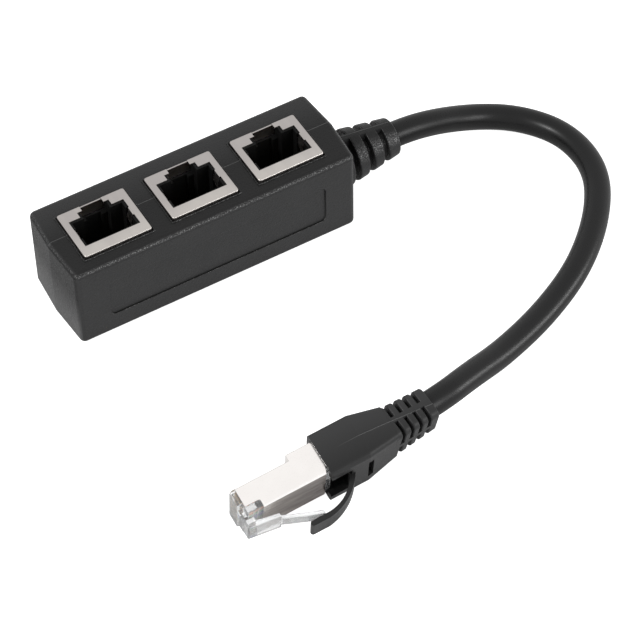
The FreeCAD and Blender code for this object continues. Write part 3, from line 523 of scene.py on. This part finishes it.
jackSheetFinish = {
    "name": "satinNickel",
    "mottleSize": 260.0,
    "dark": (0.375, 0.352, 0.337, 1),
    "light": (0.445, 0.417, 0.4, 1),
    "stretch": (1.0, 0.12, 1.0),
    "lineSize": 5200.0,
    "roughness": (0.28, 0.36),
    "bump": 0.12,
    "bumpDepth": 0.00004,
    # painted highlight: the tops of the jack sheets are painted lighter towards their front edge, in patches
    "paintedShadingFaces": [
        {"toward": (0, 0, 1), "along": (0, 1, 0), "from": -0.0072, "to": -0.001, "shadingPatches": 0.35,
         "shadingPatchesSize": 300.0, "near": (0.53, 0.5, 0.47, 1), "far": (0.425, 0.398, 0.385, 1)},
    ],
}
plugSheetFinish = {
    "name": "brightNickel",
    "mottleSize": 180.0,
    "dark": (0.88, 0.845, 0.82, 1),
    "light": (0.96, 0.93, 0.905, 1),
    "stretch": (0.15, 1.0, 1.0),
    "lineSize": 4200.0,
    "roughness": (0.16, 0.24),
    "bump": 0.1,
    "bumpDepth": 0.00004,
    # painted shade: the latch face is painted darker towards the boot, a painted reflection of the floor's shadow
    # under the plug
    "paintedShadingFaces": [
        {"toward": (0.0091, -0.97053, -0.24083), "along": plugAlong, "from": -0.026, "to": -0.007,
         "shadingPatches": 0.35, "shadingPatchesSize": 900.0, "near": (0.56, 0.52, 0.49, 1), "far": (0.17, 0.141, 0.13, 1),
         # painted highlight: the fold is painted near white
         "fold": {"across": plugUp, "from": 0.0313, "to": 0.0321, "blend": 0.0001, "strength": 1.0,
                  "colour": (0.97, 0.95, 0.93, 1)}},
    ],
}
goldFinish = {
    "name": "goldPlate",
    "mottleSize": 900.0,
    "dark": (0.72, 0.48, 0.18, 1),
    "light": (0.86, 0.62, 0.28, 1),
    "stretch": (1.0, 1.0, 0.2),
    "lineSize": 6000.0,
    "roughness": (0.16, 0.24),
    "bump": 0.06,
    "bumpDepth": 0.00004,
}


def clearPlastic(settings):
    material, tree, shader, place = startMaterial(settings["name"])
    flow = addNode(tree, "ShaderNodeTexNoise", (-700, -200), in_Scale=settings["flowSize"], in_Detail=2.0)
    tree.links.new(place, flow.inputs["Vector"])
    mottle = useGroup(tree, "softMottle", (-700, 200), Vector=place, Size=settings["flowSize"],
                      Dark=settings["dark"], Light=settings["light"])
    normal = bumpFrom(tree, flow.outputs["Fac"], settings["bump"], settings["bumpDepth"])
    tree.links.new(mottle.outputs["Color"], shader.inputs["Base Color"])
    tree.links.new(normal, shader.inputs["Normal"])
    shader.inputs["Roughness"].default_value = settings["roughness"]
    shader.inputs["IOR"].default_value = settings["ior"]
    shader.inputs["Transmission Weight"].default_value = settings["clear"]
    return material


clearFinish = {
    "name": "clearPolycarbonate",
    "flowSize": 500.0,
    "dark": (0.89, 0.9, 0.905, 1),
    "light": (0.96, 0.965, 0.97, 1),
    "bump": 0.25,
    "bumpDepth": 0.00015,
    "roughness": 0.08,
    "ior": 1.58,
    "clear": 0.9,
}


wireFinish = {
    "mottleSize": 700.0,
    "shade": 0.8,           # of the dark patches against the wire's colour
    "stripeScale": 260.0,
    "stripeWander": 1.2,
    "stripeFrom": 0.9,
    "stripeColour": (0.82, 0.82, 0.8, 1),
    "roughness": 0.38,
    "colours": {
        "orange": (0.86, 0.27, 0.04, 1),
        "green": (0.05, 0.36, 0.09, 1),
        "blue": (0.05, 0.12, 0.5, 1),
        "brown": (0.2, 0.08, 0.03, 1),
    },
}


def wireInsulation(name, colour, settings):
    material, tree, shader, place = startMaterial(name)
    dark = tuple(level * settings["shade"] for level in colour[:3]) + (1,)
    mottle = useGroup(tree, "softMottle", (-700, 200), Vector=place, Size=settings["mottleSize"], Dark=dark,
                      Light=colour)
    band = addNode(tree, "ShaderNodeTexWave", (-700, -150), wave_type="BANDS", bands_direction="X",
                   in_Scale=settings["stripeScale"], in_Distortion=settings["stripeWander"])
    tree.links.new(place, band.inputs["Vector"])
    stripe = mathNode(tree, "GREATER_THAN", band.outputs["Fac"], settings["stripeFrom"], (-450, -150))
    striped = mixColour(tree, stripe, mottle.outputs["Color"], settings["stripeColour"], (-100, 150))
    tree.links.new(striped, shader.inputs["Base Color"])
    shader.inputs["Roughness"].default_value = settings["roughness"]
    return material


def boardLaminate(settings):
    material, tree, shader, place = startMaterial(settings["name"])
    mottle = useGroup(tree, "softMottle", (-700, 200), Vector=place, Size=settings["mottleSize"],
                      Dark=settings["dark"], Light=settings["light"])
    weave = addNode(tree, "ShaderNodeTexBrick", (-700, -200), in_Scale=settings["weave"])
    tree.links.new(place, weave.inputs["Vector"])
    normal = bumpFrom(tree, weave.outputs["Fac"], settings["bump"], settings["bumpDepth"])
    tracks = addNode(tree, "ShaderNodeTexBrick", (-700, -500), in_Scale=settings["tracks"])
    tracks.inputs["Mortar Size"].default_value = settings["trackWidth"]
    tree.links.new(place, tracks.inputs["Vector"])
    colour = mixColour(tree, tracks.outputs["Fac"], mottle.outputs["Color"], settings["trackColour"], (-200, 300))
    tree.links.new(colour, shader.inputs["Base Color"])
    tree.links.new(normal, shader.inputs["Normal"])
    shader.inputs["Roughness"].default_value = settings["roughness"]
    return material


boardFinish = {
    "name": "boardGreen",
    "mottleSize": 300.0,
    "dark": (0.01, 0.09, 0.03, 1),
    "light": (0.02, 0.15, 0.05, 1),
    "weave": 1600.0,
    "bump": 0.2,
    "bumpDepth": 0.00005,
    "tracks": 180.0,
    "trackWidth": 0.06,
    "trackColour": (0.05, 0.28, 0.1, 1),
    "roughness": 0.3,
}


# repeated and path-following details, built with Geometry Nodes
def startNodesTree(name, numbers):
    tree = bpy.data.node_groups.new(name, "GeometryNodeTree")
    tree.interface.new_socket(name="Geometry", in_out="INPUT", socket_type="NodeSocketGeometry")
    tree.interface.new_socket(name="Geometry", in_out="OUTPUT", socket_type="NodeSocketGeometry")
    for label, value in numbers.items():
        kind = "NodeSocketInt" if isinstance(value, int) else "NodeSocketFloat"
        kind = "NodeSocketVector" if isinstance(value, tuple) else kind
        socketIn(tree, label, value, kind)
    socketIn(tree, "Material", None, "NodeSocketMaterial")
    start = addNode(tree, "NodeGroupInput", (-1200, 0))
    end = addNode(tree, "NodeGroupOutput", (1000, 0))
    join = tree.links.new
    realize = addNode(tree, "GeometryNodeRealizeInstances", (600, 0))
    coat = addNode(tree, "GeometryNodeSetMaterial", (800, 0))
    join(realize.outputs["Geometry"], coat.inputs["Geometry"])
    join(start.outputs["Material"], coat.inputs["Material"])
    join(coat.outputs["Geometry"], end.inputs["Geometry"])
    return tree, start, realize


def madeByNodes(name, tree, points, closed, numbers, material, turn=None, mergeWithin=1e-7):
    mesh = bpy.data.meshes.new(name + "Path")
    edges = [(k, k + 1) for k in range(len(points) - 1)] + ([(len(points) - 1, 0)] if closed else [])
    mesh.from_pydata(points, edges, [])
    path = bpy.data.objects.new(name + "Path", mesh)
    scene.collection.objects.link(path)
    modifier = path.modifiers.new("details", "NODES")
    modifier.node_group = tree
    for item in tree.interface.items_tree:
        if item.item_type == "SOCKET" and item.in_out == "INPUT" and item.name in numbers:
            modifier[item.identifier] = numbers[item.name]
        elif item.item_type == "SOCKET" and item.in_out == "INPUT" and item.name == "Material":
            modifier[item.identifier] = material
    bpy.context.view_layer.update()
    ready = path.evaluated_get(bpy.context.evaluated_depsgraph_get())
    solid = bpy.data.meshes.new_from_object(ready)
    path.modifiers.remove(modifier)
    bpy.data.objects.remove(path)
    if turn is not None:
        solid.transform(turn)
    shell = bmesh.new()
    shell.from_mesh(solid)
    bmesh.ops.remove_doubles(shell, verts=shell.verts, dist=mergeWithin)
    bmesh.ops.recalc_face_normals(shell, faces=shell.faces)
    shell.to_mesh(solid)
    shell.free()
    solid.name = name
    piece = bpy.data.objects.new(name, solid)
    scene.collection.objects.link(piece)
    for face in solid.polygons:
        face.use_smooth = True
    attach(piece, "root")
    return piece


# thin uneven lip of housing plastic that crept up round each jack's sheet
mouldLip = {
    "rowStart": (-0.02165, -0.00085),
    "halfSize": (0.00832, 0.00702),
    "topLevel": 0.02187,     # of the bead's middle, at the long sides
    "crown": 0.00025,
    "halfWidth": 0.011,
    "ringSides": 8,
    "numbers": {"Jacks": 3, "Pitch": (0.0209, 0.0, 0.0), "Bead Radius": 0.0002, "Step": 0.00035,
                "Wander": 0.0002, "Wander Size": 1300.0, "Seed": 4.0},
}


# round one jack, up over the crown of the top
def lipOutline(settings):
    (x, y), (halfX, halfY) = settings["rowStart"], settings["halfSize"]
    outline = [(x - halfX, y - halfY), (x + halfX, y - halfY), (x + halfX, 0), (x + halfX, y + halfY),
               (x - halfX, y + halfY), (x - halfX, 0)]
    return [(px, py, settings["topLevel"] + settings["crown"] * (1 - abs(py) / settings["halfWidth"]))
            for px, py in outline]


def mouldLipTree(settings):
    tree, start, realize = startNodesTree("mouldLip", settings["numbers"])
    join = tree.links.new
    curve = addNode(tree, "GeometryNodeMeshToCurve", (-1000, 100))
    join(start.outputs["Geometry"], curve.inputs["Mesh"])
    steps = addNode(tree, "GeometryNodeResampleCurve", (-800, 100))
    steps.mode = "LENGTH"
    join(curve.outputs["Curve"], steps.inputs["Curve"])
    join(start.outputs["Step"], steps.inputs["Length"])
    noise = addNode(tree, "ShaderNodeTexNoise", (-800, -200), noise_dimensions="4D", in_Detail=3.0)
    join(start.outputs["Wander Size"], noise.inputs["Scale"])
    join(start.outputs["Seed"], noise.inputs["W"])
    centred = addNode(tree, "ShaderNodeVectorMath", (-600, -200), operation="SUBTRACT")
    join(noise.outputs["Color"], centred.inputs[0])
    centred.inputs[1].default_value = (0.5, 0.5, 0.5)    # a noise's values lie round a half
    moved = addNode(tree, "ShaderNodeVectorMath", (-400, -200), operation="SCALE")
    join(centred.outputs["Vector"], moved.inputs[0])
    double = mathNode(tree, "MULTIPLY", start.outputs["Wander"], 2.0, (-600, -400))
    join(double, moved.inputs["Scale"])
    shift = addNode(tree, "GeometryNodeSetPosition", (-400, 100))
    join(steps.outputs["Curve"], shift.inputs["Geometry"])
    join(moved.outputs["Vector"], shift.inputs["Offset"])
    ring = addNode(tree, "GeometryNodeCurvePrimitiveCircle", (-400, 350))
    ring.inputs["Resolution"].default_value = settings["ringSides"]
    join(start.outputs["Bead Radius"], ring.inputs["Radius"])
    bead = addNode(tree, "GeometryNodeCurveToMesh", (-150, 100))
    join(shift.outputs["Geometry"], bead.inputs["Curve"])
    join(ring.outputs["Curve"], bead.inputs["Profile Curve"])
    row = addNode(tree, "GeometryNodeMeshLine", (0, 350))
    join(start.outputs["Jacks"], row.inputs["Count"])
    join(start.outputs["Pitch"], row.inputs["Offset"])
    copies = addNode(tree, "GeometryNodeInstanceOnPoints", (250, 100))
    join(row.outputs["Mesh"], copies.inputs["Points"])
    join(bead.outputs["Mesh"], copies.inputs["Instance"])
    join(copies.outputs["Instances"], realize.inputs["Geometry"])
    return tree


# fine ribs along the outer face of the latch's narrow part, from the plug's tip in its own directions
latchRibs = {
    "ringSides": 8,
    "path": [(0.0074, -0.00683, -0.0013), (0.0130, -0.0091, -0.0013), (0.0154, -0.00993, -0.0013)],
    "numbers": {"Ribs": 5, "Spacing": (0.0, 0.0, 0.00065), "Rib Radius": 0.00013},
}


def latchRibTree(settings):
    tree, start, realize = startNodesTree("latchRibs", settings["numbers"])
    join = tree.links.new
    curve = addNode(tree, "GeometryNodeMeshToCurve", (-1000, 100))
    join(start.outputs["Geometry"], curve.inputs["Mesh"])
    ring = addNode(tree, "GeometryNodeCurvePrimitiveCircle", (-800, 350))
    ring.inputs["Resolution"].default_value = settings["ringSides"]
    join(start.outputs["Rib Radius"], ring.inputs["Radius"])
    rib = addNode(tree, "GeometryNodeCurveToMesh", (-600, 100))
    join(curve.outputs["Curve"], rib.inputs["Curve"])
    join(ring.outputs["Curve"], rib.inputs["Profile Curve"])
    rib.inputs["Fill Caps"].default_value = True
    row = addNode(tree, "GeometryNodeMeshLine", (-400, 350))
    join(start.outputs["Ribs"], row.inputs["Count"])
    join(start.outputs["Spacing"], row.inputs["Offset"])
    copies = addNode(tree, "GeometryNodeInstanceOnPoints", (-100, 100))
    join(row.outputs["Mesh"], copies.inputs["Points"])
    join(rib.outputs["Mesh"], copies.inputs["Instance"])
    join(copies.outputs["Instances"], realize.inputs["Geometry"])
    return tree


def paint(piece, material):
    slots = piece.data.materials
    slots.clear()
    slots.append(material)


jackSheet = sheetMetal(jackSheetFinish)
insertPlastic = mouldedPlastic(insertFinish)
gold = sheetMetal(goldFinish)
housingPlastic = mouldedPlastic(housingFinish)
clearBody = clearPlastic(clearFinish)
paint(nodes["housing"], housingPlastic)
paint(nodes["boot"], mouldedPlastic(bootFinish))
paint(cable, mouldedPlastic(cableFinish))
paint(nodes["circuit_board"], boardLaminate(boardFinish))
paint(nodes["plug_body"], clearBody)
paint(nodes["plug_shield"], sheetMetal(plugSheetFinish))
paint(nodes["plug_contacts"], gold)
for number in (1, 2, 3):
    paint(nodes["jack_shield_%d" % number], jackSheet)
    paint(nodes["jack_insert_%d" % number], insertPlastic)
    paint(nodes["jack_contacts_%d" % number], gold)
for colour, tint in wireFinish["colours"].items():
    insulation = wireInsulation(colour + "Insulation", tint, wireFinish)
    paint(nodes["box_wires_" + colour], insulation)
    paint(nodes["plug_wires_" + colour], insulation)
print("finishes painted")

lip = madeByNodes("mouldLip", mouldLipTree(mouldLip), lipOutline(mouldLip), True, mouldLip["numbers"], housingPlastic)
plugTurn = Matrix.Translation(plugTip) @ Matrix((plugAlong, plugAcross, plugUp)).transposed().to_4x4()
ribs = madeByNodes("latchRibs", latchRibTree(latchRibs), latchRibs["path"], False, latchRibs["numbers"], clearBody,
                   plugTurn)
print("lip and latch ribs made")

# floor, world and lamps
studio = {
    "floorSize": 6.0,
    "floorGlow": 0.9,
    "floorMirrored": 0.12,   # what metal sees of the floor, over its own light
    "floorThrough": 0.65,    # what clear plastic shows of it
    "floorColour": (0.8, 0.8, 0.8, 1),
    "worldLevel": 0.45,
    "aim": (0.02, -0.03, 0.01),
    "lamps": [
        {"name": "frontSoftbox", "place": (0.51, -0.83, 0.49), "size": (0.34, 0.6), "power": 3.5},
        {"name": "rightSoftbox", "place": (0.96, -0.51, 0.15), "size": (0.34, 0.34), "power": 2.6},
        {"name": "leftSoftbox", "place": (-0.736, 0.0, 0.817), "size": (0.18, 0.18), "power": 5.6},
    ],
}


def seenBy(tree, *rays):
    path = addNode(tree, "ShaderNodeLightPath", (-900, 300))
    seen = path.outputs[rays[0]]
    for ray in rays[1:]:
        seen = mathNode(tree, "MAXIMUM", seen, path.outputs[ray], (-600, 300))
    return seen


def makeFloor(settings):
    half = settings["floorSize"] / 2
    mesh = bpy.data.meshes.new("floor")
    mesh.from_pydata([(-half, -half, 0), (half, -half, 0), (half, half, 0), (-half, half, 0)], [], [(0, 1, 2, 3)])
    floor = bpy.data.objects.new("floor", mesh)
    scene.collection.objects.link(floor)
    material = bpy.data.materials.new("floorWhite")
    material.use_nodes = True
    tree = material.node_tree
    tree.nodes.clear()
    out = addNode(tree, "ShaderNodeOutputMaterial", (400, 0))
    matt = addNode(tree, "ShaderNodeBsdfDiffuse", (-100, -100))
    matt.inputs["Color"].default_value = settings["floorColour"]
    glow = addNode(tree, "ShaderNodeEmission", (-100, 100))
    direct = mathNode(tree, "MULTIPLY", seenBy(tree, "Is Camera Ray"), settings["floorGlow"], (-400, 250))
    mirrored = mathNode(tree, "MULTIPLY", seenBy(tree, "Is Glossy Ray"), settings["floorMirrored"], (-400, 100))
    through = mathNode(tree, "MULTIPLY", seenBy(tree, "Is Transmission Ray"), settings["floorThrough"], (-400, 0))
    level = mathNode(tree, "MAXIMUM", direct, mathNode(tree, "MAXIMUM", mirrored, through, (-300, 50)), (-250, 200))
    tree.links.new(level, glow.inputs["Strength"])
    both = addNode(tree, "ShaderNodeAddShader", (150, 0))
    tree.links.new(glow.outputs[0], both.inputs[0])
    tree.links.new(matt.outputs[0], both.inputs[1])
    tree.links.new(both.outputs[0], out.inputs["Surface"])
    mesh.materials.append(material)


def makeWorld(settings):
    world = bpy.data.worlds.new("studio")
    scene.world = world
    world.use_nodes = True
    tree = world.node_tree
    background = tree.nodes["Background"]
    background.inputs["Color"].default_value = (1, 1, 1, 1)
    shown = seenBy(tree, "Is Camera Ray", "Is Glossy Ray", "Is Transmission Ray")
    extra = mathNode(tree, "MULTIPLY", shown, 1.0 - settings["worldLevel"], (-200, 300))
    level = mathNode(tree, "ADD", extra, settings["worldLevel"], (-100, 200))
    tree.links.new(level, background.inputs["Strength"])


def makeLamps(settings):
    for lamp in settings["lamps"]:
        data = bpy.data.lights.new(lamp["name"], "AREA")
        data.shape = "ELLIPSE"
        data.size, data.size_y = lamp["size"]
        data.energy = lamp["power"]
        piece = bpy.data.objects.new(lamp["name"], data)
        place = Vector(lamp["place"])
        aim = (Vector(settings["aim"]) - place).to_track_quat("-Z", "Y")
        piece.matrix_world = Matrix.Translation(place) @ aim.to_matrix().to_4x4()
        scene.collection.objects.link(piece)


makeFloor(studio)
makeWorld(studio)
makeLamps(studio)
scene.view_settings.view_transform = "Standard"
print("studio lit")

bpy.context.view_layer.update()
